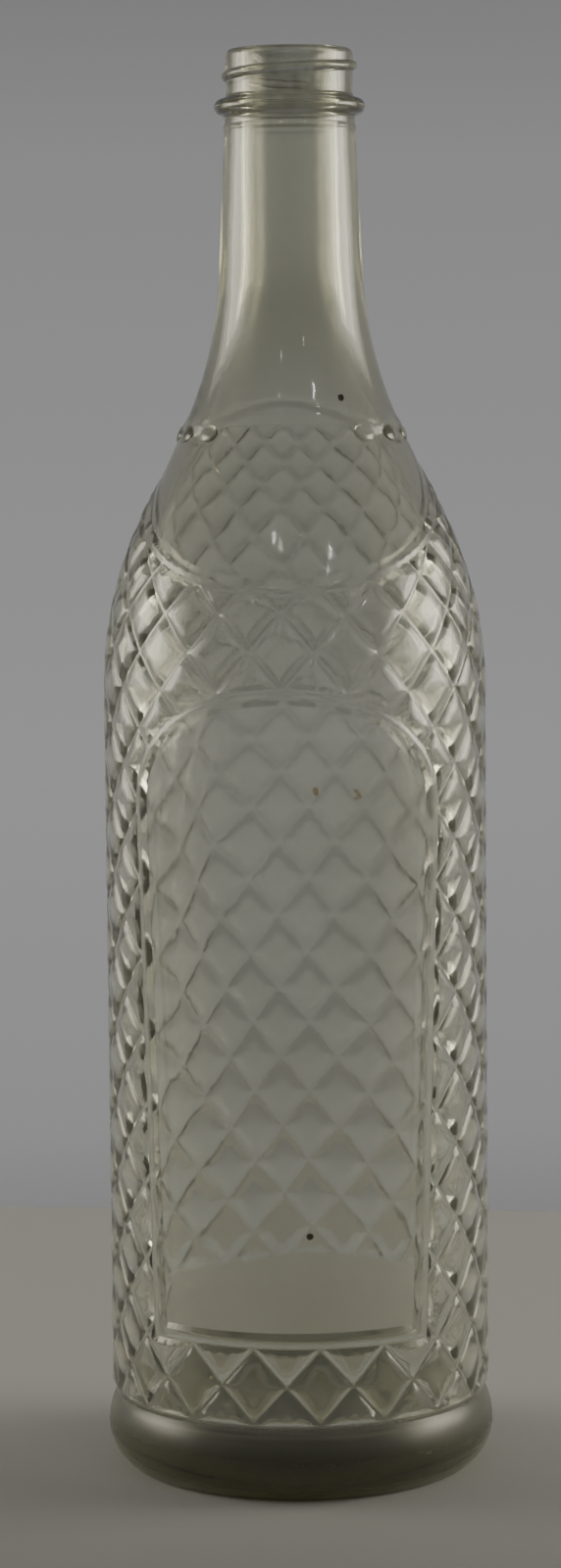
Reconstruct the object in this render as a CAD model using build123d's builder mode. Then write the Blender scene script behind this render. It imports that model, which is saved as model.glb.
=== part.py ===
"""Glass soda bottle, one moulded piece of clear glass with a quilted body.

Everything is in millimetres. +Z points up the neck, the origin is the middle of the ring the
bottle stands on, and the smooth label panel faces -Y. The bottle is a single glass moulding, so
there is one sub-part: parts/bottle_glass.step.
"""
import os
from math import atan, cos, degrees, radians, sin, sqrt, tan

from build123d import *

# ---- overall sizes ----
body_r = 39.15           # the smooth skin, and the bottom of the quilting's grooves
total_h = 295.4
wall = 2.45
shoulder_wall = 3.1

# ---- shoulder and neck lines ----
knee_z = 164.2           # the upright body ends here
cone_angle = 24.8        # lean of the shoulder, from upright
cone_tangent = 18.0      # tangent length of the rounded knee
neck_top_z = 280.0
neck_top_r = 13.5
neck_slope = 0.049
nape_tangent = 16.0      # tangent length where the shoulder flows into the neck

# ---- quilting: a lattice of raised diamond pads ----
cells = 18               # round the bottle
pad_height = 0.8
quilt_bottom = 16.4
row_pitch = 7.85         # height from one row of groove crossings to the next
straight_rows = 20
shrink = 1.3             # how fast the cells shrink as the shoulder narrows
quilt_top = 218.0
pad_half_w = 4.7         # half width of the flat top of a pad on the body

# ---- smooth areas, a hair below the grooves so that they cut cleanly through the pads ----
sink = 0.05
panel_bottom = 32.8
panel_spring = 143.0     # where the sides of the label panel turn into its arch
panel_rise = 23.0
panel_top_angle = 50.0   # how far round the panel reaches at the spring
panel_foot_angle = 43.3
rim_width = 2.4
rim_height = 0.45
yoke_low_z = 185.2       # lowest point of the yoke, at the front of the shoulder
yoke_slope = 0.56        # how steeply its edge climbs towards the back
band_top = 34.0          # plain band low on the back
band_half_w = 29.0

# ---- petals under the nape ----
petal_z = 216.8
petal_r = 2.4
petal_proud = 0.75
petal_start = 43.5       # angle of the first from the front, on both sides
petal_step = 20.0
petal_count = 4

# ---- heel and base ----
heel_r = 40.8
heel_z = 8.0
heel_band_top = 15.4
notch_r = 39.0
ring_outer_r = 36.5      # outer edge of the ring it stands on
ring_inner_r = 33.5
push_up = 3.2
floor_z = 8.5
floor_corner = 8.0

# ---- screw finish, 28 mm ----
bore_r = 9.4
bore_tangent = 18.0      # tangent length where the shoulder opens out of the bore
mould_line_z = 279.4     # the finish mould meets the body mould here
collar_foot_r = 13.45
bead_low_z = 281.8
bead_z = 283.75
bead_r = 15.6
bead_high_z = 285.5
root_r = 13.1
lip_round = 1.0
bore_round = 0.7
thread_r = 14.0
thread_pitch = 4.2
thread_turn = 340.0      # degrees of thread
thread_start = 68.4      # where it starts, counted from +X
thread_z = 288.5
thread_width = 2.4

# The shoulder is a cone, joined to the upright body and to the neck by two rounded bends.
lean = radians(cone_angle)
knee_corner_z = knee_z + cone_tangent
knee_radius = cone_tangent / tan(lean / 2)
knee_end_z = knee_corner_z + cone_tangent * cos(lean)
cone_apex_r = body_r + tan(lean) * knee_corner_z
neck_foot_r = neck_top_r + neck_slope * neck_top_z
nape_corner_z = (cone_apex_r - neck_foot_r) / (tan(lean) - neck_slope)
nape_low_z = nape_corner_z - nape_tangent * cos(lean)
nape_high_z = nape_corner_z + nape_tangent

front = Plane(origin=(0, 0, 0), x_dir=(1, 0, 0), z_dir=(0, -1, 0))
flank = Plane(origin=(0, 0, 0), x_dir=(0, 1, 0), z_dir=(1, 0, 0))


def skin_r(z):
    """Radius of the smooth skin at height z, from the body up to the nape."""
    if z <= knee_z:
        return body_r
    if z <= knee_end_z:
        return body_r - knee_radius + sqrt(knee_radius**2 - (z - knee_z) ** 2)
    return cone_apex_r - tan(lean) * z


def skin_lean(z):
    """Lean of the skin at height z, in radians from upright."""
    if z <= knee_z:
        return 0
    if z <= knee_end_z:
        return atan((z - knee_z) / sqrt(knee_radius**2 - (z - knee_z) ** 2))
    return lean


def pad_r(z):
    """Radius over the pads at height z. The pads thin out as the shoulder narrows."""
    return skin_r(z) + pad_height * skin_r(z) / body_r


def at(angle, z, r):
    """The point at an angle from the front, a height and a radius."""
    swing = radians(angle)
    return Vector(r * sin(swing), -r * cos(swing), z)


# Heights of the groove crossings: even on the body, closing up as the shoulder narrows.
rows = [quilt_bottom + row_pitch * i for i in range(straight_rows + 1)]
while rows[-1] < quilt_top:
    narrowing = (skin_r(rows[-1]) / body_r) ** shrink
    rows.append(rows[-1] + row_pitch * narrowing * cos(skin_lean(rows[-1])))
belt_top = rows[-1]

# The flat top of a pad and the four bevels round it are plane, so one half size sets the other.
half_cell = 180 / cells
side_drop = body_r + pad_height - body_r * cos(radians(half_cell))
spread = (body_r * sin(radians(half_cell)) / pad_half_w - 1) / side_drop
pad_reach = 1 / (1 + spread * pad_height)
pad_swing = degrees(atan(pad_half_w / (body_r + pad_height)))


def flat(*corners):
    """A plane face through its corners."""
    return Face(Wire.make_polygon(corners, close=True))


def pad_faces(angle, i):
    """The bevels and the flat top of one diamond pad, centred on a row of crossings."""
    z = rows[i]
    left = at(angle - half_cell, z, skin_r(z))
    right = at(angle + half_cell, z, skin_r(z))
    brow_r = pad_r(z) / cos(radians(pad_swing))
    pad_left = at(angle - pad_swing, z, brow_r)
    pad_right = at(angle + pad_swing, z, brow_r)
    faces = []
    for k in (i - 1, i + 1):
        if 0 <= k < len(rows):
            tip_z = z + (rows[k] - z) * pad_reach
            tip = at(angle, rows[k], skin_r(rows[k]))
            pad_tip = at(angle, tip_z, pad_r(tip_z))
            if rows[k] < knee_z and z < knee_z:
                faces.append(flat(left, tip, pad_tip, pad_left))
                faces.append(flat(right, tip, pad_tip, pad_right))
            else:
                faces.append(flat(left, tip, pad_left))
                faces.append(flat(tip, pad_tip, pad_left))
                faces.append(flat(right, tip, pad_right))
                faces.append(flat(tip, pad_tip, pad_right))
            faces.append(flat(pad_left, pad_tip, pad_right))
    return faces


def end_face(i):
    """The flat end of the quilted belt, across the pads of its last row."""
    z = rows[i]
    brow_r = pad_r(z) / cos(radians(pad_swing))
    corners = []
    for k in range(cells):
        angle = half_cell * (2 * k + i % 2)
        corners.append(at(angle - half_cell, z, skin_r(z)))
        corners.append(at(angle - pad_swing, z, brow_r))
        corners.append(at(angle + pad_swing, z, brow_r))
    return flat(*corners)


belt_faces = [end_face(0), end_face(len(rows) - 1)]
for i in range(len(rows)):
    for k in range(cells):
        belt_faces += pad_faces(half_cell * (2 * k + i % 2), i)
belt = Solid(Shell(belt_faces))


def skin_outline(inset, foot_z):
    """Draw the skin moved in by inset, from the body up to the foot of the neck."""
    knee_out = (body_r - inset, knee_z)
    knee_in = (skin_r(knee_end_z) - inset * cos(lean), knee_end_z - inset * sin(lean))
    nape_in = (skin_r(nape_low_z) - inset * cos(lean), nape_low_z - inset * sin(lean))
    nape_out = (neck_foot_r - neck_slope * nape_high_z - inset, nape_high_z)
    Line((body_r - inset, foot_z), knee_out)
    TangentArc(knee_out, knee_in, tangent=(0, 1))
    Line(knee_in, nape_in)
    TangentArc(nape_in, nape_out, tangent=(-sin(lean), cos(lean)))


def panel_outline(inset):
    """Draw the label panel, an arched window seen from the front, moved in by inset."""
    top = body_r * sin(radians(panel_top_angle)) - inset
    foot = body_r * sin(radians(panel_foot_angle)) - inset
    low = panel_bottom + inset
    Line((-foot, low), (foot, low))
    Line((foot, low), (top, panel_spring))
    EllipticalCenterArc((0, panel_spring), top, panel_rise - inset, start_angle=0, arc_size=180)
    Line((-top, panel_spring), (-foot, low))


# The yoke is all that lies above a plane slanting up from the front to the back of the shoulder.
yoke_front = -skin_r(yoke_low_z)
yoke_back = yoke_front + (belt_top - yoke_low_z) / yoke_slope
outside_y = yoke_front - 20
yoke_foot_z = yoke_low_z - 20 * yoke_slope

# The pads are cleared away, down to the skin, over the label panel, the yoke and the back band.
with BuildPart() as clearing:
    with BuildSketch(front):
        with BuildLine():
            panel_outline(0)
        make_face()
    extrude(amount=2 * body_r)
    with BuildSketch(front):
        with Locations((0, quilt_bottom)):
            Rectangle(2 * band_half_w, band_top - quilt_bottom, align=(Align.CENTER, Align.MIN))
    extrude(amount=-2 * body_r)
    with BuildSketch(flank):
        with BuildLine():
            Polyline((outside_y, yoke_foot_z), (yoke_back, belt_top), (outside_y, belt_top), close=True)
        make_face()
    extrude(amount=body_r + 10, both=True)
    with BuildSketch(front):
        with BuildLine():
            skin_outline(sink, quilt_bottom)
            Line((neck_foot_r - neck_slope * nape_high_z - sink, nape_high_z), (0, nape_high_z))
            Line((0, nape_high_z), (0, quilt_bottom))
            Line((0, quilt_bottom), (body_r - sink, quilt_bottom))
        make_face()
    revolve(axis=Axis.Z, mode=Mode.SUBTRACT)

# A low rib frames the label panel.
with BuildPart() as rim:
    with BuildSketch(front):
        with BuildLine():
            panel_outline(0.4)
        make_face()
        with BuildLine():
            panel_outline(0.4 + rim_width)
        make_face(mode=Mode.SUBTRACT)
    extrude(amount=2 * body_r)
    with BuildSketch(Plane.XY.offset(quilt_bottom)):
        Circle(body_r + rim_height)
        Circle(body_r - 1, mode=Mode.SUBTRACT)
    extrude(amount=panel_spring + panel_rise, mode=Mode.INTERSECT)

# The inside: a rounded floor, the wall, and a straight bore up to the lip.
wall_r = body_r - wall
bore_corner_z = (cone_apex_r - shoulder_wall / cos(lean) - bore_r) / tan(lean)
bore_foot = (bore_r + bore_tangent * sin(lean), bore_corner_z - bore_tangent * cos(lean))
bore_end_z = bore_corner_z + bore_tangent
inner_knee = (
    skin_r(knee_end_z) - shoulder_wall * cos(lean),
    knee_end_z - shoulder_wall * sin(lean),
)
with BuildPart() as inside:
    with BuildSketch(front):
        with BuildLine():
            Line((0, total_h + 1), (0, floor_z))
            Line((0, floor_z), (wall_r - floor_corner, floor_z))
            TangentArc((wall_r - floor_corner, floor_z), (wall_r, floor_z + floor_corner), tangent=(1, 0))
            Line((wall_r, floor_z + floor_corner), (wall_r, knee_z))
            TangentArc((wall_r, knee_z), inner_knee, tangent=(0, 1))
            Line(inner_knee, bore_foot)
            TangentArc(bore_foot, (bore_r, bore_end_z), tangent=(-sin(lean), cos(lean)))
            Line((bore_r, bore_end_z), (bore_r, total_h - bore_round))
            TangentArc((bore_r, total_h - bore_round), (bore_r + bore_round, total_h), tangent=(0, 1))
            Line((bore_r + bore_round, total_h), (bore_r + bore_round, total_h + 1))
            Line((bore_r + bore_round, total_h + 1), (0, total_h + 1))
        make_face()
    revolve(axis=Axis.Z)

# The screw thread, a single ridge that climbs to the right for about one turn.
crest = thread_r - root_r
with BuildPart() as thread:
    with BuildLine() as climb:
        Helix(pitch=thread_pitch, height=thread_pitch * thread_turn / 360, radius=root_r)
    with BuildSketch(Plane(origin=climb.line @ 0, x_dir=(1, 0, 0), z_dir=climb.line % 0)):
        with BuildLine():
            Line((-0.4, thread_width / 2), (-0.4, -thread_width / 2))
            Line((-0.4, -thread_width / 2), (0, -thread_width / 2))
            ThreePointArc((0, -thread_width / 2), (crest, 0), (0, thread_width / 2))
            Line((0, thread_width / 2), (-0.4, thread_width / 2))
        make_face()
    sweep(path=climb.line, is_frenet=True)

petal_r_out = skin_r(petal_z) + (petal_proud - petal_r) * cos(lean)
with BuildPart() as bottle_glass:
    # heel band, standing ring and push-up
    with BuildSketch(front):
        with BuildLine():
            Line((0, quilt_bottom), (0, push_up))
            ThreePointArc((0, push_up), (ring_inner_r * 0.6, push_up * 0.62), (ring_inner_r, 0))
            Line((ring_inner_r, 0), (ring_outer_r, 0))
            ThreePointArc((ring_outer_r, 0), (39.4, 3.2), (heel_r, heel_z))
            ThreePointArc((heel_r, heel_z), (40.4, 11.6), (notch_r, heel_band_top))
            Polyline((notch_r, heel_band_top), (notch_r, quilt_bottom), (0, quilt_bottom))
        make_face()
    revolve(axis=Axis.Z)
    # nape, neck and screw finish
    with BuildSketch(front):
        with BuildLine():
            neck_r = neck_foot_r - neck_slope * mould_line_z - sink
            nape_foot = (skin_r(nape_low_z) - sink * cos(lean), nape_low_z - sink * sin(lean))
            nape_end = (neck_foot_r - neck_slope * nape_high_z - sink, nape_high_z)
            belt_r = skin_r(belt_top) - sink / cos(lean)
            Polyline((0, belt_top), (belt_r, belt_top), nape_foot)
            TangentArc(nape_foot, nape_end, tangent=(-sin(lean), cos(lean)))
            Polyline(nape_end, (neck_r + 0.3, mould_line_z), (collar_foot_r, mould_line_z + 0.4))
            Line((collar_foot_r, mould_line_z + 0.4), (collar_foot_r, bead_low_z))
            ThreePointArc((collar_foot_r, bead_low_z), (bead_r, bead_z), (root_r, bead_high_z))
            Polyline((root_r, bead_high_z), (root_r, total_h), (0, total_h), (0, belt_top))
        make_face()
    revolve(axis=Axis.Z)
    lip = edges().filter_by(GeomType.CIRCLE).group_by(Axis.Z)[-1]
    fillet(lip, radius=lip_round)
    with Locations(Location((0, 0, thread_z), (0, 0, thread_start))):
        add(thread.part)
    add(belt)
    add(clearing.part, mode=Mode.SUBTRACT)
    add(rim.part)
    # petals round the top of the shoulder
    for side in (-1, 1):
        for k in range(petal_count):
            swing = side * (petal_start + petal_step * k)
            with Locations(at(swing, petal_z, petal_r_out)):
                Sphere(radius=petal_r)
    add(inside.part, mode=Mode.SUBTRACT)

bottle_glass.part.label = "bottle_glass"
os.makedirs("parts", exist_ok=True)
export_step(bottle_glass.part, "parts/bottle_glass.step")
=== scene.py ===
from math import asin, atan2, cos, hypot, pi, radians, sin, sqrt, tan

import bmesh
import bpy
from mathutils import Matrix, Vector, noise


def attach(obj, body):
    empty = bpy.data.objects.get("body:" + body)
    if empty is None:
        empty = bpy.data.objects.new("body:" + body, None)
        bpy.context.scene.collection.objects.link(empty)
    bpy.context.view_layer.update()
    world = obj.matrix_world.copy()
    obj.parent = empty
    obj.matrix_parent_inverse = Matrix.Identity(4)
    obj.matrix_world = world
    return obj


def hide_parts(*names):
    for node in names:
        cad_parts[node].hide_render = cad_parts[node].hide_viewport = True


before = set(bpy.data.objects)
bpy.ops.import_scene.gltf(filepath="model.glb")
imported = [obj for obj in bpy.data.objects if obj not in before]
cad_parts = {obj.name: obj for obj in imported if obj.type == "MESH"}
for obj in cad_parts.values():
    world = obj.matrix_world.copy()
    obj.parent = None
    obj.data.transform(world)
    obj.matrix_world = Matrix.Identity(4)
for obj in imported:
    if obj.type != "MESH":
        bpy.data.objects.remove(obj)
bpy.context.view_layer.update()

# ---- Plain body of the bottle ----
# The whole bottle is one piece of clear pressed and blown glass. This is its plain skin, at the
# level of the grooves and of the smooth areas: heel, upright body, sloping shoulder, neck, collar
# bead and lip. Everything is shaped in millimetres and brought to metres at the end.
MM = 0.001
TOTAL_H = 295.4
BODY_R = 39.15           # level of the grooves and of the label panel
HEEL_R = 40.75
HEEL_TOP_Z = 16.5
PUSH_UP = 3.2            # height of the hollow in the middle of the underside
KNEE_Z = 164.2           # where the shoulder starts to bend inward
CONE_LEAN = radians(24.8)
KNEE_TANGENT = 18.0      # length of each straight side that the bend at the knee replaces
NECK_TOP_R = 13.45
NECK_TOP_Z = 280.0
NECK_SLOPE = 0.049
NAPE_TANGENT = 16.0
MOULD_Z = 278.7          # where the neck meets the step that the neck ring of the mould leaves
BEAD_R = 15.6
LIP_R = 13.2
BODY_STEPS = 160
KNEE_CORNER_Z = KNEE_Z + KNEE_TANGENT
KNEE_R = KNEE_TANGENT / tan(CONE_LEAN / 2)
KNEE_END_Z = KNEE_CORNER_Z + KNEE_TANGENT * cos(CONE_LEAN)
CONE_FOOT_R = BODY_R + tan(CONE_LEAN) * KNEE_CORNER_Z
NECK_FOOT_R = NECK_TOP_R + NECK_SLOPE * NECK_TOP_Z
NAPE_CORNER_Z = (CONE_FOOT_R - NECK_FOOT_R) / (tan(CONE_LEAN) - NECK_SLOPE)
NAPE_LOW_Z = NAPE_CORNER_Z - NAPE_TANGENT * cos(CONE_LEAN)


def skin_r(z):
    """Radius of the plain skin from the body up to where the nape begins."""
    if z <= KNEE_Z:
        return BODY_R
    if z <= KNEE_END_Z:
        return BODY_R - KNEE_R + sqrt(KNEE_R**2 - (z - KNEE_Z) ** 2)
    return CONE_FOOT_R - tan(CONE_LEAN) * z


def skin_lean(z):
    """Lean of the skin at a height, from upright."""
    if z <= KNEE_Z:
        return 0.0
    if z <= KNEE_END_Z:
        return asin((z - KNEE_Z) / KNEE_R)
    return CONE_LEAN


def deselect():
    if bpy.context.object and bpy.context.object.mode == "EDIT":
        bpy.ops.object.mode_set(mode="OBJECT")
    bpy.ops.object.select_all(action="DESELECT")


def pick(obj):
    deselect()
    obj.select_set(True)
    bpy.context.view_layer.objects.active = obj


def arc(start, through, end, steps):
    """Points along the arc from start to end by way of through, without the first."""
    (ax, ay), (bx, by), (cx, cy) = start, through, end
    d = 2 * (ax * (by - cy) + bx * (cy - ay) + cx * (ay - by))
    a2, b2, c2 = ax**2 + ay**2, bx**2 + by**2, cx**2 + cy**2
    ux = (a2 * (by - cy) + b2 * (cy - ay) + c2 * (ay - by)) / d
    uy = (a2 * (cx - bx) + b2 * (ax - cx) + c2 * (bx - ax)) / d
    r = hypot(ax - ux, ay - uy)
    t0 = atan2(ay - uy, ax - ux)
    t1 = atan2(by - uy, bx - ux)
    t2 = atan2(cy - uy, cx - ux)
    sweep = (t2 - t0) % (2 * pi)
    if (t1 - t0) % (2 * pi) > sweep:
        sweep -= 2 * pi
    turn = [t0 + sweep * i / steps for i in range(1, steps + 1)]
    return [(ux + r * cos(t), uy + r * sin(t)) for t in turn]


def bend(start, corner, end, steps):
    """Points along a smooth bend that starts and ends on two straight lines."""
    points = []
    for i in range(1, steps + 1):
        t = i / steps
        points.append(
            tuple(
                (1 - t) ** 2 * a + 2 * t * (1 - t) * b + t**2 * c
                for a, b, c in zip(start, corner, end)
            )
        )
    return points


def turned(name, profile, steps):
    """A solid turned about Z from a profile of (radius, height) that starts and ends on the axis."""
    mesh = bpy.data.meshes.new(name)
    edges = [(i, i + 1) for i in range(len(profile) - 1)]
    mesh.from_pydata([(r, 0, z) for r, z in profile], edges, [])
    obj = bpy.data.objects.new(name, mesh)
    bpy.context.collection.objects.link(obj)
    pick(obj)
    bpy.ops.object.mode_set(mode="EDIT")
    bpy.ops.mesh.select_all(action="SELECT")
    bpy.ops.mesh.spin(steps=steps, angle=2 * pi, center=(0, 0, 0), axis=(0, 0, 1))
    bpy.ops.mesh.select_all(action="SELECT")
    bpy.ops.mesh.remove_doubles(threshold=0.002)
    bpy.ops.mesh.normals_make_consistent(inside=False)
    bpy.ops.object.mode_set(mode="OBJECT")
    return obj


def even(low, high, count):
    """Heights spread evenly from low to high, without low itself."""
    return [low + (high - low) * i / count for i in range(1, count + 1)]


nape_start = (skin_r(NAPE_LOW_Z), NAPE_LOW_Z)
nape_corner = (skin_r(NAPE_CORNER_Z), NAPE_CORNER_Z)
nape_end_z = NAPE_CORNER_Z + NAPE_TANGENT
nape_end = (NECK_FOOT_R - NECK_SLOPE * nape_end_z, nape_end_z)

# The underside with its push-up, the standing ring and the rounded heel.
body_profile = [(0, PUSH_UP)]
body_profile += arc((0, PUSH_UP), (20, 2.2), (33.6, 0.35), 10)
body_profile += arc((33.6, 0.35), (35.2, 0.0), (36.6, 0.25), 4)
body_profile += arc((36.6, 0.25), (39.3, 3.2), (HEEL_R, 8.0), 8)
body_profile += arc((HEEL_R, 8.0), (40.35, 11.6), (39.0, 15.2), 6)
body_profile += [(38.95, 15.8), (BODY_R, HEEL_TOP_Z)]

# The body, the shoulder and the neck.
body_profile += [(skin_r(z), z) for z in even(HEEL_TOP_Z, KNEE_Z, 40)]
body_profile += [(skin_r(z), z) for z in even(KNEE_Z, KNEE_END_Z, 14)]
body_profile += [(skin_r(z), z) for z in even(KNEE_END_Z, NAPE_LOW_Z, 8)]
body_profile += bend(nape_start, nape_corner, nape_end, 16)
body_profile += [(NECK_FOOT_R - NECK_SLOPE * z, z) for z in even(nape_end_z, MOULD_Z, 8)]

# The small step under the collar bead, the bead, the wall behind the thread, and the lip.
body_profile += [(13.72, 279.1), (13.78, 279.4), (13.6, 279.75), (13.45, 280.3), (13.46, 281.2)]
body_profile += arc((13.46, 281.2), (13.65, 281.65), (14.1, 281.9), 3)
body_profile += arc((14.1, 281.9), (BEAD_R, 283.75), (14.1, 285.35), 12)
body_profile += arc((14.1, 285.35), (13.35, 285.65), (13.05, 286.3), 4)
body_profile += [(13.05, 288.5), (13.12, 291.0), (LIP_R, 293.0), (LIP_R, 294.0)]
body_profile += arc((LIP_R, 294.0), (12.85, 294.95), (12.0, TOTAL_H), 6)
body_profile += [(6.0, TOTAL_H), (0, TOTAL_H)]
body = turned("body_skin", body_profile, BODY_STEPS)

# ---- Quilting ----
# The mould is cut with two crossing sets of grooves, so that the glass stands up in rows of soft
# diamond pads with bevelled sides. One pad is shaped flat, repeated round the bottle and up it,
# and then wrapped on the skin, closing up as the shoulder narrows.
CELLS = 18               # pads round the bottle
ROW_PITCH = 7.85         # half the height of a pad on the upright body
QUILT_BOTTOM = 16.4
STRAIGHT_ROWS = 20
QUILT_TOP = 218.0
PAD_HEIGHT = 0.88
SHRINK = 1.3             # how fast the rows close up on the shoulder
THINNING = 1.1           # how fast the pads get lower there
FOOT_LINES = (0.04, 0.16)   # extra lines low on the first row, where the pads rise from the heel

rows = [QUILT_BOTTOM + ROW_PITCH * i for i in range(STRAIGHT_ROWS + 1)]
while rows[-1] < QUILT_TOP:
    narrowing = (skin_r(rows[-1]) / BODY_R) ** SHRINK
    rows.append(rows[-1] + ROW_PITCH * narrowing * cos(skin_lean(rows[-1])))
LAST_ROW = len(rows) - 1

# Places across a pad, from groove to groove: close together on the bevels, wide apart on top.
GROOVE_EDGE, BEVEL_EDGE = 0.08, 0.25
knots = [-1, GROOVE_EDGE - 1, BEVEL_EDGE - 1, -0.42, 0, 0.42, 1 - BEVEL_EDGE, 1 - GROOVE_EDGE, 1]


def pad_rise(p, q):
    """Height of the pad, 0 in the groove and 1 on top, from how far the nearest groove is."""
    away = min(1 - abs(p), 1 - abs(q))
    if away < GROOVE_EDGE:
        return -0.06 + 2.1 * away
    if away < BEVEL_EDGE:
        return 0.108 + 3.7 * (away - GROOVE_EDGE)
    return 0.737 + 0.263 * (1 - ((1 - away) / (1 - BEVEL_EDGE)) ** 2)


span = len(knots) - 1
deselect()
bpy.ops.mesh.primitive_grid_add(x_subdivisions=span, y_subdivisions=span, size=2)
pad = bpy.context.object
for v in pad.data.vertices:
    p = knots[round((v.co.x + 1) / 2 * span)]
    q = knots[round((v.co.y + 1) / 2 * span)]
    v.co = ((p + q) / 2, (p - q) / 2, pad_rise(p, q))
pad.data.flip_normals()


def repeat(obj, count, step):
    """Repeat a piece in a row."""
    pick(obj)
    rank = obj.modifiers.new("rank", "ARRAY")
    rank.use_relative_offset = False
    rank.use_constant_offset = True
    rank.constant_offset_displace = step
    rank.count = count
    bpy.ops.object.modifier_apply(modifier=rank.name)


pick(pad)
bpy.ops.object.duplicate()
offset_pad = bpy.context.object
offset_pad.data.transform(Matrix.Translation((1, 1, 0)))
for piece, ranks in ((pad, LAST_ROW // 2 + 1), (offset_pad, (LAST_ROW + 1) // 2)):
    repeat(piece, CELLS, (2, 0, 0))
    repeat(piece, ranks, (0, 2, 0))
pick(pad)
offset_pad.select_set(True)
bpy.ops.object.join()
quilt = pad
quilt.name = "quilting"
bpy.ops.object.mode_set(mode="EDIT")
for height, way in ((0.0, -1), (float(LAST_ROW), 1)):
    bpy.ops.mesh.select_all(action="SELECT")
    bpy.ops.mesh.bisect(plane_co=(0, height, 0), plane_no=(0, way, 0), clear_outer=True)
for height in FOOT_LINES:
    bpy.ops.mesh.select_all(action="SELECT")
    bpy.ops.mesh.bisect(plane_co=(0, height, 0), plane_no=(0, 1, 0))
bpy.ops.object.mode_set(mode="OBJECT")


def row_height(v):
    """Height on the bottle of a place counted in rows."""
    i = min(int(v), LAST_ROW - 1)
    return rows[i] + (rows[i + 1] - rows[i]) * (v - i)


for vert in quilt.data.vertices:
    u, v, rise = vert.co
    z = row_height(max(v, 0.0))
    lean = skin_lean(z)
    proud = PAD_HEIGHT * (skin_r(z) / BODY_R) ** THINNING * min(rise, v / FOOT_LINES[1])
    r = skin_r(z) + proud * cos(lean)
    z += proud * sin(lean) if 0 < v < LAST_ROW else 0
    angle = radians(u * 180 / CELLS)
    vert.co = (r * sin(angle), -r * cos(angle), z)

pick(quilt)
bpy.ops.object.mode_set(mode="EDIT")
bpy.ops.mesh.select_all(action="SELECT")
bpy.ops.mesh.remove_doubles(threshold=0.004)
bpy.ops.mesh.select_all(action="DESELECT")
bpy.ops.mesh.select_non_manifold()
bpy.ops.mesh.fill_holes(sides=0)
bpy.ops.mesh.select_all(action="SELECT")
bpy.ops.mesh.quads_convert_to_tris(quad_method="SHORTEST_DIAGONAL", ngon_method="BEAUTY")
bpy.ops.mesh.normals_make_consistent(inside=False)
bpy.ops.object.mode_set(mode="OBJECT")

# ---- Smooth areas ----
# The quilting stops round three smooth areas: the arched label panel on the front, the yoke that
# slopes down over the front of the shoulder, and a plain band low on the back. Each is cleared
# with a tool whose edges flare outward, so the cut pads end in a bevel.
PANEL_FOOT_Z = 32.8
PANEL_SPRING_Z = 143.0
PANEL_RISE = 23.0
PANEL_TOP = 34.6         # half width round the curve, at the spring of the arch
PANEL_FOOT = 30.2        # half width at the foot
BAND_HALF = 33.0
BAND_TOP_Z = 34.0
YOKE_LOW_Z = 185.2
YOKE_RISE = 20.0
YOKE_REACH = 126         # degrees that the yoke's edge runs to each side of the front
COLUMN = 0.9             # spacing of the lines that let a flat tool bend round the body
TIER = 2.0               # spacing of the lines that let it lean with the shoulder
OFF_LINE = (0.013, 0.017)   # keeps those lines off the corners of the outlines


def panel_edge(grow):
    """The outline of the label panel as (distance round the curve, height), grown by grow."""
    points = [(-PANEL_FOOT - grow, PANEL_FOOT_Z - grow), (PANEL_FOOT + grow, PANEL_FOOT_Z - grow)]
    top, rise = PANEL_TOP + grow, PANEL_RISE + grow
    points += [(top * cos(pi * i / 48), PANEL_SPRING_Z + rise * sin(pi * i / 48)) for i in range(49)]
    return points


def band_edge(grow):
    """The outline of the plain band on the back, measured from the middle of the back."""
    half, low, high = BAND_HALF + grow, QUILT_BOTTOM - 2, BAND_TOP_Z + grow
    return [(-half, low), (half, low), (half, high), (-half, high)]


def yoke_sag(reach, grow):
    """The yoke's lower edge, from reach degrees on one side of the front to as far on the other."""
    turns = [radians(reach * i / 28) for i in range(-28, 29)]
    return [(turn * BODY_R, YOKE_LOW_Z + YOKE_RISE * (1 - cos(turn)) - grow) for turn in turns]


def yoke_edge(grow):
    """The outline of the yoke, rising from the middle of the front to the top of the quilting."""
    low = yoke_sag(YOKE_REACH, grow)
    return low + [(low[-1][0] + grow, QUILT_TOP + 4), (low[0][0] - grow, QUILT_TOP + 4)]


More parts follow.
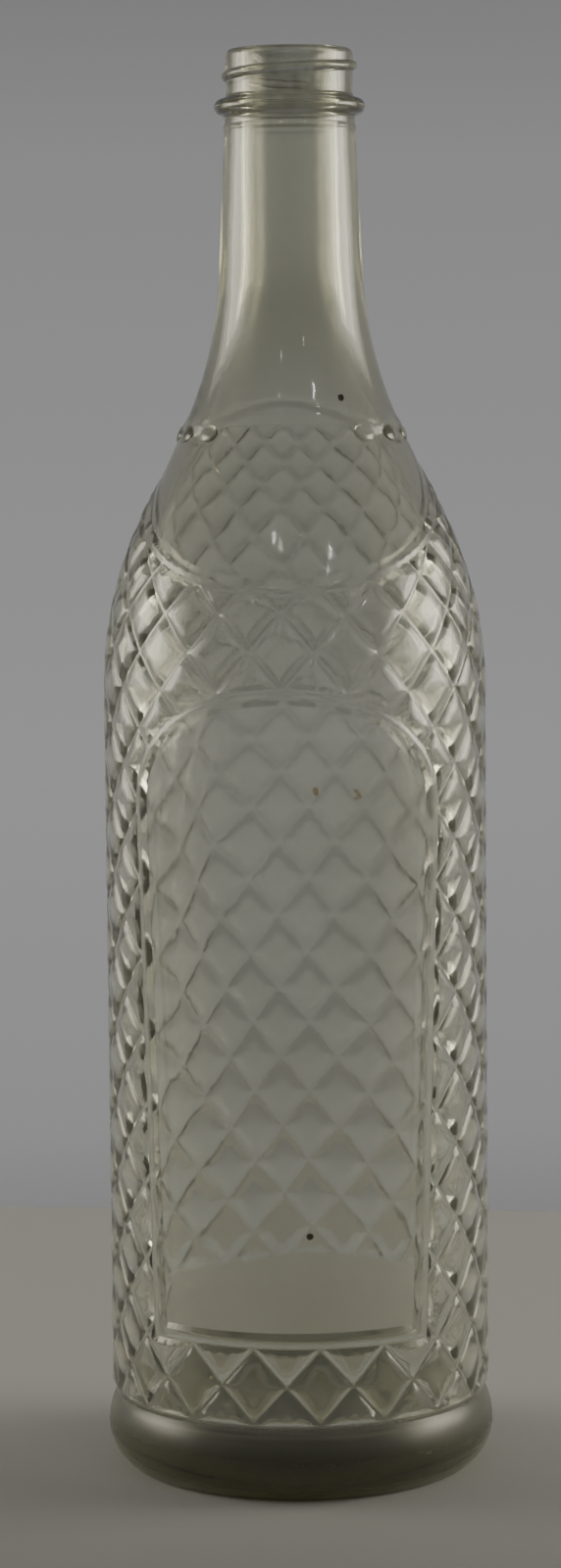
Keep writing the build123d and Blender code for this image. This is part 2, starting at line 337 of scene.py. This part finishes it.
def ring_solid(name, outline, levels, facing, hollow=False):
    """A solid of stacked outlines, wrapped on the skin, its middle turned by facing. levels holds
    (grow, height above the skin) for each outline. A hollow one closes on itself, as a rib does."""
    rings = [[(x, z, level) for x, z in outline(grow)] for grow, level in levels]
    count = len(rings[0])
    bm = bmesh.new()
    layers = [[bm.verts.new(point) for point in ring] for ring in rings]
    if hollow:
        layers.append(layers[0])
    else:
        bm.faces.new(layers[0])
        bm.faces.new(layers[-1][::-1])
    for low, high in zip(layers, layers[1:]):
        for i in range(count):
            k = (i + 1) % count
            bm.faces.new((low[i], high[i], high[k], low[k]))
    bmesh.ops.recalc_face_normals(bm, faces=bm.faces)
    mesh = bpy.data.meshes.new(name)
    bm.to_mesh(mesh)
    bm.free()
    obj = bpy.data.objects.new(name, mesh)
    bpy.context.collection.objects.link(obj)
    pick(obj)
    bpy.ops.object.mode_set(mode="EDIT")
    bpy.ops.mesh.select_all(action="SELECT")
    bpy.ops.mesh.quads_convert_to_tris(quad_method="BEAUTY", ngon_method="BEAUTY")
    reach = max(abs(x) for x, _ in outline(levels[-1][0]))
    lines = int(reach / COLUMN)
    for i in range(-lines, lines + 1):
        bpy.ops.mesh.select_all(action="SELECT")
        bpy.ops.mesh.bisect(plane_co=(i * COLUMN + OFF_LINE[0], 0, 0), plane_no=(1, 0, 0))
    tall = [z for _, z in outline(0)]
    z = max(min(tall), KNEE_Z - TIER)
    while z < max(tall):
        bpy.ops.mesh.select_all(action="SELECT")
        bpy.ops.mesh.bisect(plane_co=(0, z + OFF_LINE[1], 0), plane_no=(0, 1, 0))
        z += TIER
    bpy.ops.object.mode_set(mode="OBJECT")
    for v in mesh.vertices:
        x, z, level = v.co     # still flat, with the height above the skin as the third place
        lean = skin_lean(z)
        r = skin_r(z) + level * cos(lean)
        angle = x / BODY_R + facing
        v.co = (r * sin(angle), -r * cos(angle), z + level * sin(lean))
    pick(obj)
    bpy.ops.object.mode_set(mode="EDIT")
    bpy.ops.mesh.select_all(action="SELECT")
    bpy.ops.mesh.normals_make_consistent(inside=False)
    bpy.ops.object.mode_set(mode="OBJECT")
    return obj


def combine(target, tool, how):
    """Join a tool to the target or cut it away, and remove the tool."""
    pick(target)
    cut = target.modifiers.new("cut", "BOOLEAN")
    cut.object = tool
    cut.operation = how
    cut.solver = "MANIFOLD"
    bpy.ops.object.modifier_apply(modifier=cut.name)
    bpy.data.objects.remove(tool)


# The tools go well into the skin and well out past the pads. Their sides lean out by the bevel
# that the cut pads end in.
EDGE_BEVEL = 1.8
flare = [(-0.5, -4.0), (-0.02, -0.05), (EDGE_BEVEL, PAD_HEIGHT + 0.05), (EDGE_BEVEL + 0.1, 3.0)]
tools = [
    ring_solid("panel_tool", panel_edge, flare, 0.0),
    ring_solid("band_tool", band_edge, flare, pi),
    ring_solid("yoke_tool", yoke_edge, flare, 0.0),
]
for tool in tools:
    combine(quilt, tool, "DIFFERENCE")
combine(body, quilt, "UNION")

# ---- Rims of the label panel and the yoke ----
# A narrow rib frames the label panel, softly rounded and a little lower than the pads. A fainter
# one follows the yoke, sagging across the front of the shoulder and closing in a flat arch on top.
# Both are cut in the mould, so they are part of the same glass.
SEAM_REACH = 124         # degrees that the yoke's rib runs to each side of the front
SEAM_TOP_Z = 219.6
ARCH_REACH = 46          # degrees that the arch over the front runs to each side
ARCH_RISE = 5.0
panel_rim = [(0.7, -0.6), (0.6, 0.26), (0.05, 0.3), (-0.4, 0.46)]
panel_rim += [(-1.0, 0.54), (-1.7, 0.4), (-2.8, 0.02), (-2.7, -0.6)]
yoke_rim = [(0.7, -0.6), (0.6, 0.12), (0.0, 0.16), (-0.5, 0.28)]
yoke_rim += [(-1.1, 0.34), (-1.8, 0.22), (-2.8, 0.02), (-2.7, -0.6)]


def yoke_seam(grow):
    """The line of the yoke's rib: its lower edge, and an arch over the front above the petals."""
    line = yoke_sag(SEAM_REACH, grow)
    for i in range(28, -29, -1):
        turn = radians(SEAM_REACH * i / 28)
        arch = ARCH_RISE * cos(turn * 90 / ARCH_REACH) if abs(turn) < radians(ARCH_REACH) else 0.0
        line.append((turn * BODY_R, SEAM_TOP_Z + arch + grow))
    return line


combine(body, ring_solid("panel_rim", panel_edge, panel_rim, 0.0, hollow=True), "UNION")
combine(body, ring_solid("yoke_rim", yoke_seam, yoke_rim, 0.0, hollow=True), "UNION")

# ---- Petals under the nape ----
# A row of small oval petals ends the quilting at the top of the shoulder. They are part of the
# glass, pressed out into hollows of the mould, and are left out over the front.
PETAL_Z = 216.8
PETAL_HALF = (2.7, 0.95, 2.1)    # half its width, its depth and its height
PETAL_SINK = 0.3
FIRST_PETAL = 43.5       # degrees from the middle of the front
PETAL_STEP = 20
PETALS_A_SIDE = 4


def petal(turn):
    """An oval bud half sunk in the skin, turn degrees round from the middle of the front."""
    deselect()
    bpy.ops.mesh.primitive_uv_sphere_add(segments=24, ring_count=12, radius=1)
    bud = bpy.context.object
    bud.data.transform(Matrix.Diagonal((*PETAL_HALF, 1)))
    bud.data.transform(Matrix.Rotation(-CONE_LEAN, 4, "X"))
    bud.data.transform(Matrix.Translation((0, -skin_r(PETAL_Z) + PETAL_SINK, PETAL_Z)))
    bud.data.transform(Matrix.Rotation(radians(turn), 4, "Z"))
    return bud


for k in range(PETALS_A_SIDE):
    for side in (-1, 1):
        combine(body, petal(side * (FIRST_PETAL + PETAL_STEP * k)), "UNION")

# ---- Screw thread ----
# The finish takes a screw cap. A single rounded ridge of the same glass, moulded with the lip,
# climbs to the right for just under one turn and fades out at both ends.
THREAD_START = 68.4      # degrees from +X, counterclockwise seen from above
THREAD_TURN = 340.0
THREAD_Z = 288.5
THREAD_PITCH = 4.2
RIDGE_R = 1.15
RIDGE_MID_R = 12.85      # distance of the middle of the ridge from the axis
FADE_IN, FADE_OUT = 22, 34
THREAD_STEPS = 120
deselect()
ridge = bpy.data.curves.new("thread", "CURVE")
ridge.dimensions = "3D"
ridge.bevel_depth = RIDGE_R
ridge.bevel_resolution = 5
ridge.use_fill_caps = True
line = ridge.splines.new("POLY")
line.points.add(THREAD_STEPS)
for i, point in enumerate(line.points):
    turn = THREAD_TURN * i / THREAD_STEPS
    fade = min(1.0, turn / FADE_IN, (THREAD_TURN - turn) / FADE_OUT)
    r = RIDGE_MID_R - (1 - fade) ** 2
    angle = radians(THREAD_START + turn)
    point.co = (r * cos(angle), r * sin(angle), THREAD_Z + THREAD_PITCH * turn / 360, 1)
thread = bpy.data.objects.new("thread", ridge)
bpy.context.collection.objects.link(thread)
pick(thread)
bpy.ops.object.convert(target="MESH")
thread = bpy.context.object
bpy.ops.object.mode_set(mode="EDIT")
bpy.ops.mesh.select_all(action="SELECT")
bpy.ops.mesh.remove_doubles(threshold=0.001)
bpy.ops.mesh.normals_make_consistent(inside=False)
bpy.ops.object.mode_set(mode="OBJECT")
combine(body, thread, "UNION")

# ---- Inside ----
# The blown inside follows the outside loosely, with the gentle waves and uneven wall that blowing
# leaves, a thick rounded floor, and a straight bore through the neck.
WALL_R = 36.7
FLOOR_Z = 8.5
FLOOR_CROWN = 1.2        # the floor stands this much higher in the middle
FLOOR_ROUND = 8.2        # height of the rounding between the floor and the wall
BORE_R = 9.4
BORE_TANGENT = 18        # length of each straight side that the bend into the bore replaces
MOUTH_LEAD = 0.9         # the mouth is this much wider than the bore, all round
MOUTH_ROUND = 0.8
SHOULDER_EXTRA = 0.6     # the wall is this much thicker at the end of the knee
KNEE_TURNS = 14
INSIDE_STEPS = 120
WAVE = 0.484             # how far the wall wanders at most
STEADY_TOP = 20          # the last stretch under the lip, which the plunger shapes true
wall_foot = FLOOR_Z + FLOOR_ROUND
mouth_foot = TOTAL_H - MOUTH_ROUND
mouth_r = BORE_R + MOUTH_LEAD
wall_step = BODY_R - WALL_R
inside_profile = [(0, FLOOR_Z + FLOOR_CROWN)]
inside_profile += arc((0, FLOOR_Z + FLOOR_CROWN), (16, FLOOR_Z + 0.7), (28.5, FLOOR_Z), 10)
inside_profile += arc((28.5, FLOOR_Z), (34.3, FLOOR_Z + 2.4), (WALL_R, wall_foot), 8)
inside_profile += [(WALL_R, z) for z in even(wall_foot, KNEE_Z, 50)]
for i in range(1, KNEE_TURNS + 1):
    t = CONE_LEAN * i / KNEE_TURNS
    r = KNEE_R - wall_step - SHOULDER_EXTRA * i / KNEE_TURNS
    inside_profile.append((BODY_R - KNEE_R + r * cos(t), KNEE_Z + r * sin(t)))
foot_r, foot_z = inside_profile[-1]
bore_z = foot_z + (foot_r - BORE_R) / tan(CONE_LEAN)
bend_r = BORE_R + BORE_TANGENT * sin(CONE_LEAN)
bend_z = bore_z - BORE_TANGENT * cos(CONE_LEAN)
bend_top = bore_z + BORE_TANGENT
inside_profile += list(zip(even(foot_r, bend_r, 12), even(foot_z, bend_z, 12)))
inside_profile += bend((bend_r, bend_z), (BORE_R, bore_z), (BORE_R, bend_top), 14)
inside_profile += [(BORE_R, z) for z in even(bend_top, mouth_foot, 12)]
inside_profile += arc((BORE_R, mouth_foot), (BORE_R + 0.25, TOTAL_H - 0.2), (mouth_r, TOTAL_H), 4)
inside_profile += [(mouth_r, TOTAL_H + 2), (0, TOTAL_H + 2)]
hollow = turned("inside", inside_profile, INSIDE_STEPS)

# Slow waves up the wall, and quicker ones less than half as strong, easing out at floor and mouth.
for v in hollow.data.vertices:
    x, y, z = v.co
    r = hypot(x, y)
    if z < TOTAL_H - STEADY_TOP and r > 4:
        ease = max(0.0, min(1.0, (z - FLOOR_Z) / 20, (TOTAL_H - STEADY_TOP - z) / 40))
        wave = noise.noise(Vector((x / 26, y / 26, z / 60)))
        wave += 0.45 * noise.noise(Vector((x / 11 + 9, y / 11, z / 34)))
        r_new = r + WAVE * wave * ease
        v.co.x, v.co.y = x * r_new / r, y * r_new / r
combine(body, hollow, "DIFFERENCE")

# ---- The finished glass ----
# Clear soda-lime glass with a faint grey-green cast that deepens in the thick heel. Handling has
# scuffed the outside, a thin film of dust and water marks dulls it, and it has two specks of
# carbon and two brown stains.
bottle = body
bottle.name = "bottle"
pick(bottle)
bpy.ops.object.mode_set(mode="EDIT")
bpy.ops.mesh.select_all(action="SELECT")
bpy.ops.mesh.remove_doubles(threshold=0.003)
bpy.ops.mesh.dissolve_degenerate(threshold=0.002)
bpy.ops.mesh.select_all(action="SELECT")
bpy.ops.mesh.quads_convert_to_tris(quad_method="BEAUTY", ngon_method="BEAUTY")
bpy.ops.object.mode_set(mode="OBJECT")

# Each point is marked as lying outside or inside, because only the outside is worn and dirty.
MID_WALL = 1.5           # depth below the skin that parts the outside from the inside
MID_HEEL_R = 38.0
MID_FINISH_R = 11.0
outside = bottle.data.attributes.new("outside", "FLOAT", "POINT")
for v, mark in zip(bottle.data.vertices, outside.data):
    x, y, z = v.co
    r = hypot(x, y)
    if z < QUILT_BOTTOM + 1:
        within = r < MID_HEEL_R and z > FLOOR_Z - 0.5
    elif z > MOULD_Z + 0.3:
        within = r < MID_FINISH_R
    else:
        outer_r = max(skin_r(z), NECK_FOOT_R - NECK_SLOPE * z)
        within = r < outer_r - MID_WALL / cos(skin_lean(z))
    mark.value = 0.0 if within else 1.0
bottle.data.transform(Matrix.Scale(MM, 4))
bpy.ops.object.shade_smooth_by_angle(angle=radians(40))
bottle.modifiers.new("even shading", "WEIGHTED_NORMAL").keep_sharp = True


def group_of(name, inputs, outputs):
    """A new shader node group with named sockets, and its node and link lists."""
    group = bpy.data.node_groups.new(name, "ShaderNodeTree")
    for label, kind, value in inputs:
        socket = group.interface.new_socket(label, in_out="INPUT", socket_type=kind)
        if value is not None:
            socket.default_value = value
    for label, kind in outputs:
        group.interface.new_socket(label, in_out="OUTPUT", socket_type=kind)
    start, end = group.nodes.new("NodeGroupInput"), group.nodes.new("NodeGroupOutput")
    return group, group.nodes, group.links, start, end


def ramp(nodes, stops):
    """A colour ramp of greys, from stops of (place, grey)."""
    node = nodes.new("ShaderNodeValToRGB")
    while len(node.color_ramp.elements) < len(stops):
        node.color_ramp.elements.new(0.5)
    for element, (place, grey) in zip(node.color_ramp.elements, stops):
        element.position = place
        element.color = (grey, grey, grey, 1)
    return node


def sum_of(nodes, links, how, first, second):
    """Add, multiply or otherwise join two values, each a socket or a number."""
    node = nodes.new("ShaderNodeMath")
    node.operation = how
    for socket, value in zip(node.inputs, (first, second)):
        if isinstance(value, (int, float)):
            socket.default_value = value
        else:
            links.new(value, socket)
    return node.outputs[0]


def noise_of(nodes, links, place, scale, detail):
    """A noise texture on a place."""
    node = nodes.new("ShaderNodeTexNoise")
    node.inputs["Scale"].default_value = scale
    node.inputs["Detail"].default_value = detail
    links.new(place, node.inputs["Vector"])
    return node


def tint_over(nodes, links, under, mask, tint):
    """A colour laid over another where a mask says."""
    node = nodes.new("ShaderNodeMix")
    node.data_type = "RGBA"
    links.new(mask, node.inputs["Factor"])
    links.new(under, node.inputs["A"])
    node.inputs["B"].default_value = (*tint, 1)
    return node.outputs["Result"]


def zone_of(nodes, links, value, start, end, strength):
    """A mask that grows from nothing at start to its strength at end."""
    node = nodes.new("ShaderNodeMapRange")
    node.inputs["From Min"].default_value = start
    node.inputs["From Max"].default_value = end
    node.inputs["To Max"].default_value = strength
    links.new(value, node.inputs["Value"])
    return node.outputs["Result"]


# Wear: soft patches where hands and crates have rubbed, crossed by fine upright and level scratches.
UPRIGHT, LEVEL = (900, 900, 55), (320, 320, 1500)
wear, wn, wl, wear_in, wear_out = group_of(
    "glass_wear",
    [
        ("Place", "NodeSocketVector", None),
        ("Patches", "NodeSocketFloat", 1.0),
        ("Scratches", "NodeSocketFloat", 1.0),
    ],
    [("Dullness", "NodeSocketFloat"), ("Scratch", "NodeSocketFloat")],
)
patches = noise_of(wn, wl, wear_in.outputs["Place"], 38, 5)
patches.inputs["Roughness"].default_value = 0.62
patch_ramp = ramp(wn, [(0.35, 0.0), (0.72, 1.0)])
wl.new(patches.outputs["Fac"], patch_ramp.inputs["Fac"])
scratch = None
for stretch in (UPRIGHT, LEVEL):
    squeeze = wn.new("ShaderNodeMapping")
    squeeze.inputs["Scale"].default_value = stretch
    wl.new(wear_in.outputs["Place"], squeeze.inputs["Vector"])
    lines = noise_of(wn, wl, squeeze.outputs["Vector"], 1.0, 2)
    line_ramp = ramp(wn, [(0.62, 0.0), (0.72, 1.0)])
    wl.new(lines.outputs["Fac"], line_ramp.inputs["Fac"])
    if scratch is None:
        scratch = line_ramp.outputs["Color"]
    else:
        scratch = sum_of(wn, wl, "MAXIMUM", scratch, line_ramp.outputs["Color"])
worn = sum_of(wn, wl, "MULTIPLY", patch_ramp.outputs["Color"], wear_in.outputs["Patches"])
scored = sum_of(wn, wl, "MULTIPLY", scratch, wear_in.outputs["Scratches"])
scored = sum_of(wn, wl, "MULTIPLY", scored, patch_ramp.outputs["Color"])
wl.new(worn, wear_out.inputs["Dullness"])
wl.new(scored, wear_out.inputs["Scratch"])

# Spots: a dark or brown mark round a given place, with a ragged edge.
spot, sn, sl, spot_in, spot_out = group_of(
    "glass_spot",
    [
        ("Place", "NodeSocketVector", None),
        ("Centre", "NodeSocketVector", None),
        ("Radius", "NodeSocketFloat", 0.001),
        ("Ragged", "NodeSocketFloat", 0.0004),
    ],
    [("Mask", "NodeSocketFloat")],
)
far = sn.new("ShaderNodeVectorMath")
far.operation = "DISTANCE"
sl.new(spot_in.outputs["Place"], far.inputs[0])
sl.new(spot_in.outputs["Centre"], far.inputs[1])
fray = noise_of(sn, sl, spot_in.outputs["Place"], 900, 2)
frayed = sum_of(sn, sl, "MULTIPLY", fray.outputs["Fac"], spot_in.outputs["Ragged"])
reach = sum_of(sn, sl, "ADD", far.outputs["Value"], frayed)
inner = sum_of(sn, sl, "DIVIDE", reach, spot_in.outputs["Radius"])
edge = ramp(sn, [(0.75, 1.0), (1.0, 0.0)])
sl.new(inner, edge.inputs["Fac"])
sl.new(edge.outputs["Color"], spot_out.inputs["Mask"])

# The glass itself: clear, with a soft gloss over it, and darker and greener the thicker it is.
SMOOTH = 0.03            # roughness of the unworn glass
HANDLED = 0.025          # added all over the outside
WORN = 0.06              # added where it is rubbed or scratched
HEEL_WEAR_TOP = 0.03
glass = bpy.data.materials.new("bottle_glass")
glass.use_nodes = True
nodes, links = glass.node_tree.nodes, glass.node_tree.links
shader = nodes["Principled BSDF"]
shader.inputs["IOR"].default_value = 1.5
shader.inputs["Transmission Weight"].default_value = 0.94
shader.inputs["Coat Weight"].default_value = 0.6
shader.inputs["Coat Roughness"].default_value = 0.32
soak = nodes.new("ShaderNodeVolumeAbsorption")
soak.inputs["Color"].default_value = (0.46, 0.45, 0.13, 1)
soak.inputs["Density"].default_value = 56
links.new(soak.outputs["Volume"], nodes["Material Output"].inputs["Volume"])
place = nodes.new("ShaderNodeTexCoord")
side = nodes.new("ShaderNodeAttribute")
side.attribute_name = "outside"
outer = side.outputs["Fac"]
rub = nodes.new("ShaderNodeGroup")
rub.node_tree = wear
links.new(place.outputs["Object"], rub.inputs["Place"])
rubbed = sum_of(nodes, links, "ADD", rub.outputs["Dullness"], rub.outputs["Scratch"])
dull = sum_of(nodes, links, "MULTIPLY", rubbed, WORN)
dull = sum_of(nodes, links, "ADD", dull, HANDLED)
height = nodes.new("ShaderNodeSeparateXYZ")
links.new(place.outputs["Object"], height.inputs["Vector"])
heel_wear = ramp(nodes, [(0.0, 0.03), (0.2, 0.04), (0.34, 0.24), (0.5, 0.24), (0.58, 0.0)])
links.new(sum_of(nodes, links, "DIVIDE", height.outputs["Z"], HEEL_WEAR_TOP), heel_wear.inputs["Fac"])
dull = sum_of(nodes, links, "ADD", dull, heel_wear.outputs["Color"])
dull = sum_of(nodes, links, "MULTIPLY", dull, outer)
links.new(sum_of(nodes, links, "ADD", dull, SMOOTH), shader.inputs["Roughness"])

# A film of dust and water marks, thickest on the rubbed patches.
film = nodes.new("ShaderNodeMix")
film.data_type = "RGBA"
film.inputs["A"].default_value = (0.97, 0.98, 0.955, 1)
film.inputs["B"].default_value = (0.9, 0.91, 0.86, 1)
links.new(sum_of(nodes, links, "MULTIPLY", rub.outputs["Dullness"], outer), film.inputs["Factor"])
colour = film.outputs["Result"]

# Painted shade greys the outside of the heel towards the floor, for the shadow under the bottle seen
# through the thick base, and old dirt has dried round the thread and the bead.
HEEL_SHADE_GREY = (0.6, 0.61, 0.47)
GRIME = (0.4, 0.39, 0.34)
# Painted shade: the heel's outside turns grey-green from 12.5 mm down to the floor.
heel_shade_zone = zone_of(nodes, links, height.outputs["Z"], 0.0125, 0.0095, 0.85)
heel_shade_mask = sum_of(nodes, links, "MULTIPLY", heel_shade_zone, outer)
colour = tint_over(nodes, links, colour, heel_shade_mask, HEEL_SHADE_GREY)
thread_zone = zone_of(nodes, links, height.outputs["Z"], 0.2775, 0.2865, 0.8)
crust = noise_of(nodes, links, place.outputs["Object"], 260, 5)
crust_ramp = ramp(nodes, [(0.36, 0.15), (0.66, 1.0)])
links.new(crust.outputs["Fac"], crust_ramp.inputs["Fac"])
dirt = sum_of(nodes, links, "MULTIPLY", crust_ramp.outputs["Color"], thread_zone)
dirt = sum_of(nodes, links, "MULTIPLY", dirt, outer)
colour = tint_over(nodes, links, colour, dirt, GRIME)

# Two specks of carbon and two brown stains: where and how large, in metres, how ragged and in
# what colour.
CARBON = (0.01, 0.008, 0.005)
marks = [
    ((0.01102, -0.01648, 0.22401), 0.0011, 0.3, CARBON),
    ((0.00493, -0.03883, 0.05558), 0.001, 0.3, CARBON),
    ((0.00685, -0.03854, 0.14589), 0.0021, 1.1, (0.5, 0.33, 0.13)),
    ((0.01513, -0.03611, 0.14523), 0.0026, 1.1, (0.5, 0.34, 0.14)),
]
for centre, size, ragged, tint in marks:
    mark = nodes.new("ShaderNodeGroup")
    mark.node_tree = spot
    links.new(place.outputs["Object"], mark.inputs["Place"])
    mark.inputs["Centre"].default_value = centre
    mark.inputs["Radius"].default_value = size
    mark.inputs["Ragged"].default_value = size * ragged
    mask = sum_of(nodes, links, "MULTIPLY", mark.outputs["Mask"], outer)
    colour = tint_over(nodes, links, colour, mask, tint)
links.new(colour, shader.inputs["Base Color"])

# The mould leaves a fine ripple on the outside.
ripple = noise_of(nodes, links, place.outputs["Object"], 210, 3)
grain = sum_of(nodes, links, "MULTIPLY", ripple.outputs["Fac"], outer)
bump = nodes.new("ShaderNodeBump")
bump.inputs["Strength"].default_value = 0.2
bump.inputs["Distance"].default_value = 0.00025
links.new(grain, bump.inputs["Height"])
links.new(bump.outputs["Normal"], shader.inputs["Normal"])
bottle.data.materials.clear()    # the joined tools leave empty slots behind
bottle.data.materials.append(glass)
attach(bottle, "root")
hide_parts("bottle_glass")

# ---- Floor, light and camera ----
# A pale table top that ends behind the bottle, with a painted shadow darkening it towards the front,
# a plain grey surround, soft light from both sides and two small lamps high in front.
FLOOR_BACK = 0.243
FLOOR_FRONT = 0.8
FLOOR_WIDTH = 2.6
deselect()
bpy.ops.mesh.primitive_plane_add(size=1)
floor = bpy.context.object
floor.name = "floor"
floor.data.transform(Matrix.Diagonal((FLOOR_WIDTH, FLOOR_FRONT + FLOOR_BACK, 1, 1)))
floor.data.transform(Matrix.Translation((0, (FLOOR_BACK - FLOOR_FRONT) / 2, 0)))
pale = bpy.data.materials.new("pale_floor")
pale.use_nodes = True
paint = pale.node_tree.nodes["Principled BSDF"]
paint.inputs["Roughness"].default_value = 0.7
nodes, links = pale.node_tree.nodes, pale.node_tree.links
place = nodes.new("ShaderNodeTexCoord")
along = nodes.new("ShaderNodeSeparateXYZ")
links.new(place.outputs["Object"], along.inputs["Vector"])
# Painted shadow: the floor's colour darkens from 0.62 grey at the back to 0.325 grey at the front.
shadow_fade = zone_of(nodes, links, along.outputs["Y"], -0.13, 0.06, 1.0)
shade = nodes.new("ShaderNodeMix")
shade.data_type = "RGBA"
shade.inputs["A"].default_value = (0.325, 0.325, 0.325, 1)
shade.inputs["B"].default_value = (0.62, 0.62, 0.62, 1)
links.new(shadow_fade, shade.inputs["Factor"])
links.new(shade.outputs["Result"], paint.inputs["Base Color"])
floor.data.materials.append(pale)

# The surround is lit most behind the bottle, fades upward and downward, and is dimmer in front.
world = bpy.data.worlds.new("surround")
bpy.context.scene.world = world
world.use_nodes = True
wn, wl = world.node_tree.nodes, world.node_tree.links
look = wn.new("ShaderNodeTexCoord")
parts = wn.new("ShaderNodeSeparateXYZ")
wl.new(look.outputs["Generated"], parts.inputs["Vector"])
height = sum_of(wn, wl, "ADD", parts.outputs["Z"], 0.5)
fade = ramp(wn, [(0.28, 0.22), (0.31, 0.285), (0.40, 0.315), (0.56, 0.262), (0.6, 0.215), (1.0, 0.15)])
wl.new(height, fade.inputs["Fac"])
depth = zone_of(wn, wl, parts.outputs["Y"], 0.0, 0.5, 1.0)
depth.node.inputs["To Min"].default_value = 0.75
wl.new(fade.outputs["Color"], wn["Background"].inputs["Color"])
wl.new(depth, wn["Background"].inputs["Strength"])

WARM = (1, 0.93, 0.76)
BOX_X, BOX_Z = 0.85, 0.32
BOX_AIM = (0, 0, 0.25)
LAMP_WHITE = (1, 0.98, 0.95)
LAMP_SIZE = (0.04, 0.07)
LAMP_AIM = (0, 0, 0.19)


def soft_box(name, place, aim, wide, tall, power, tint):
    """A rectangular lamp of a given width, height and power, turned to face a place."""
    data = bpy.data.lights.new(name, "AREA")
    data.shape = "RECTANGLE"
    data.size, data.size_y = wide, tall
    data.energy = power
    data.color = tint
    lamp = bpy.data.objects.new(name, data)
    bpy.context.collection.objects.link(lamp)
    lamp.location = place
    lamp.rotation_euler = (Vector(aim) - Vector(place)).to_track_quat("-Z", "Y").to_euler()


# Each side has three boxes, one before the other and each smaller than the last, so that the light
# is strongest in the middle and has no hard edge.
for side, back, power, label in ((-1, 0.04, 1.12, "left"), (1, 0.12, 1.5, "right")):
    for step in range(3):
        wide, tall = 0.9 - 0.27 * step, 0.44 - 0.08 * step
        stand = (side * (BOX_X - 0.01 * step), back, BOX_Z)
        soft_box(f"{label}_box_{step}", stand, BOX_AIM, wide, tall, power, WARM)
soft_box("left_lamp", (-0.239, -1.071, 1.2), LAMP_AIM, *LAMP_SIZE, 0.22, LAMP_WHITE)
soft_box("right_lamp", (0.659, -1.002, 1.11), LAMP_AIM, *LAMP_SIZE, 0.26, LAMP_WHITE)

# The camera stands a little to the right of the front, tilted down and hardly rolled.
VIEW_TURN = radians(4.4)
PITCH, ROLL = radians(5.9), radians(-0.534)
EYE = Vector((-0.00315, -0.8002, 0.2262))    # before it is turned round the bottle
forward = Vector((0, cos(PITCH), -sin(PITCH)))
right = Vector((1, 0, 0))
up = right.cross(forward)
right = right * cos(ROLL) + up * sin(ROLL)
up = right.cross(forward)
turn = Matrix.Rotation(VIEW_TURN, 3, "Z")
basis = Matrix((turn @ right, turn @ up, turn @ -forward)).transposed()
lens = bpy.data.cameras.new("camera")
lens.sensor_fit = "AUTO"
lens.sensor_width = 36
lens.lens = 88.07
camera = bpy.data.objects.new("camera", lens)
bpy.context.collection.objects.link(camera)
camera.matrix_world = Matrix.Translation(turn @ EYE) @ basis.to_4x4()
bpy.context.scene.camera = camera
